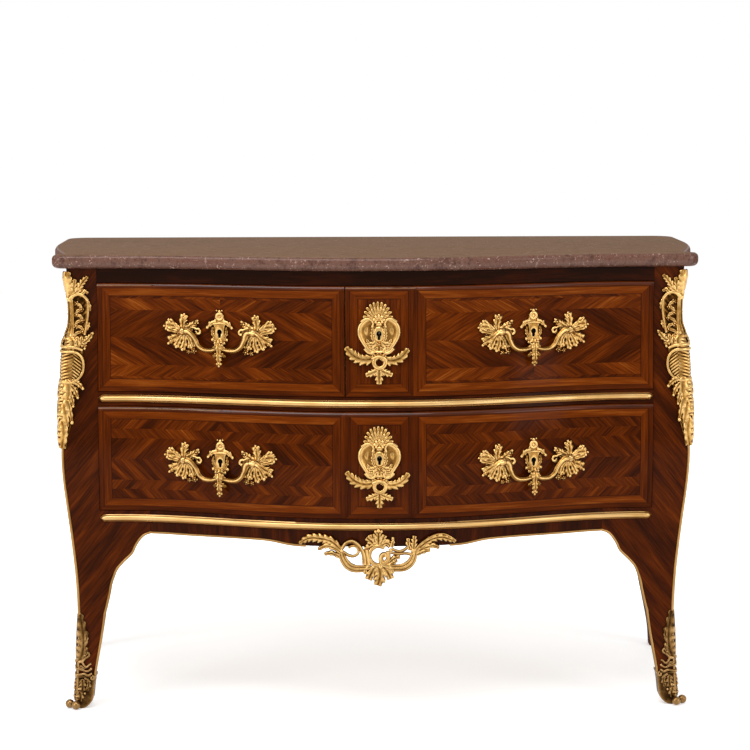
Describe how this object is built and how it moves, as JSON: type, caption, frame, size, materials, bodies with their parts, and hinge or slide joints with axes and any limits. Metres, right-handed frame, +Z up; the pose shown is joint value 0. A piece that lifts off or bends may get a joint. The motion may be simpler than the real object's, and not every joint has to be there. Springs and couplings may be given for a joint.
{
  "type": "commode chest",
  "caption": "Serpentine commode chest with short drawers over a long one, veneered fronts, a marble top, cabriole legs, gilt mounts, swinging bail handles and locks.",
  "frame": {"origin": "centre of the overall box in X and Y, on the floor", "axes": "+X to the right as seen from in front, the drawer fronts face -Y, +Z up"},
  "size_m": [1.28, 0.657, 0.88],
  "materials": {
    "marble": "polished red-brown marble",
    "veneer": "kingwood and tulipwood parquetry under a glossy varnish",
    "deal": "plain secondary wood, unpolished",
    "bronze": "cast, chased and gilt",
    "steel": "dark worked iron"
  },
  "bodies": {
    "case": {"marble_top": "marble", "front_left_leg": "veneer", "front_right_leg": "veneer", "back_left_leg": "veneer", "back_right_leg": "veneer", "left_side_panel": "veneer", "right_side_panel": "veneer", "back_panel": "deal", "frieze_rail": "veneer", "middle_rail": "veneer", "apron_rail": "veneer", "dust_board": "deal", "bottom_board": "deal", "top_partition": "deal", "middle_band": "bronze", "lower_band": "bronze", "left_chute": "bronze", "right_chute": "bronze", "front_left_sabot": "bronze", "front_right_sabot": "bronze", "apron_mount": "bronze"},
    "upper_left_drawer": {"upper_left_drawer_front": "veneer", "upper_left_drawer_left_side": "deal", "upper_left_drawer_right_side": "deal", "upper_left_drawer_back": "deal", "upper_left_drawer_bottom": "deal", "upper_left_lock_case": "steel", "upper_left_handle_escutcheon": "bronze", "upper_left_handle_left_rosette": "bronze", "upper_left_handle_right_rosette": "bronze"},
    "upper_right_drawer": {"upper_right_drawer_front": "veneer", "upper_right_drawer_left_side": "deal", "upper_right_drawer_right_side": "deal", "upper_right_drawer_back": "deal", "upper_right_drawer_bottom": "deal", "upper_right_lock_case": "steel", "upper_right_handle_escutcheon": "bronze", "upper_right_handle_left_rosette": "bronze", "upper_right_handle_right_rosette": "bronze", "upper_cartouche": "bronze"},
    "lower_drawer": {"lower_drawer_front": "veneer", "lower_drawer_left_side": "deal", "lower_drawer_right_side": "deal", "lower_drawer_back": "deal", "lower_drawer_bottom": "deal", "lower_lock_case": "steel", "lower_left_handle_escutcheon": "bronze", "lower_left_handle_left_rosette": "bronze", "lower_left_handle_right_rosette": "bronze", "lower_right_handle_escutcheon": "bronze", "lower_right_handle_left_rosette": "bronze", "lower_right_handle_right_rosette": "bronze", "lower_cartouche": "bronze"},
    "upper_left_bolt": {"upper_left_lock_bolt": "steel"},
    "upper_right_bolt": {"upper_right_lock_bolt": "steel"},
    "lower_bolt": {"lower_lock_bolt": "steel"},
    "upper_left_bail": {"upper_left_handle_bail": "bronze"},
    "upper_right_bail": {"upper_right_handle_bail": "bronze"},
    "lower_left_bail": {"lower_left_handle_bail": "bronze"},
    "lower_right_bail": {"lower_right_handle_bail": "bronze"}
  },
  "joints": [
    {"name": "upper_left_drawer_slide", "type": "slide", "parent": "case", "child": "upper_left_drawer", "axis": [0, -1, 0], "range_m": [0, 0.38]},
    {"name": "upper_right_drawer_slide", "type": "slide", "parent": "case", "child": "upper_right_drawer", "axis": [0, -1, 0], "range_m": [0, 0.38]},
    {"name": "lower_drawer_slide", "type": "slide", "parent": "case", "child": "lower_drawer", "axis": [0, -1, 0], "range_m": [0, 0.38]},
    {"name": "upper_left_bolt_throw", "type": "slide", "parent": "upper_left_drawer", "child": "upper_left_bolt", "axis": [0, 0, 1], "range_m": [0, 0.008]},
    {"name": "upper_right_bolt_throw", "type": "slide", "parent": "upper_right_drawer", "child": "upper_right_bolt", "axis": [0, 0, 1], "range_m": [0, 0.008]},
    {"name": "lower_bolt_throw", "type": "slide", "parent": "lower_drawer", "child": "lower_bolt", "axis": [0, 0, 1], "range_m": [0, 0.008]},
    {"name": "upper_left_bail_swing", "type": "hinge", "parent": "upper_left_drawer", "child": "upper_left_bail", "pos_m": [-0.30002, -0.25063, 0.73754], "axis": [-0.9575, 0.2885, 0], "range_deg": [0, 85]},
    {"name": "upper_right_bail_swing", "type": "hinge", "parent": "upper_right_drawer", "child": "upper_right_bail", "pos_m": [0.30002, -0.25063, 0.73754], "axis": [-0.9575, -0.2885, 0], "range_deg": [0, 85]},
    {"name": "lower_left_bail_swing", "type": "hinge", "parent": "lower_drawer", "child": "lower_left_bail", "pos_m": [-0.30037, -0.27156, 0.49425], "axis": [-0.9498, 0.313, 0], "range_deg": [0, 85]},
    {"name": "lower_right_bail_swing", "type": "hinge", "parent": "lower_drawer", "child": "lower_right_bail", "pos_m": [0.30037, -0.27156, 0.49425], "axis": [-0.9498, -0.313, 0], "range_deg": [0, 85]}
  ]
}
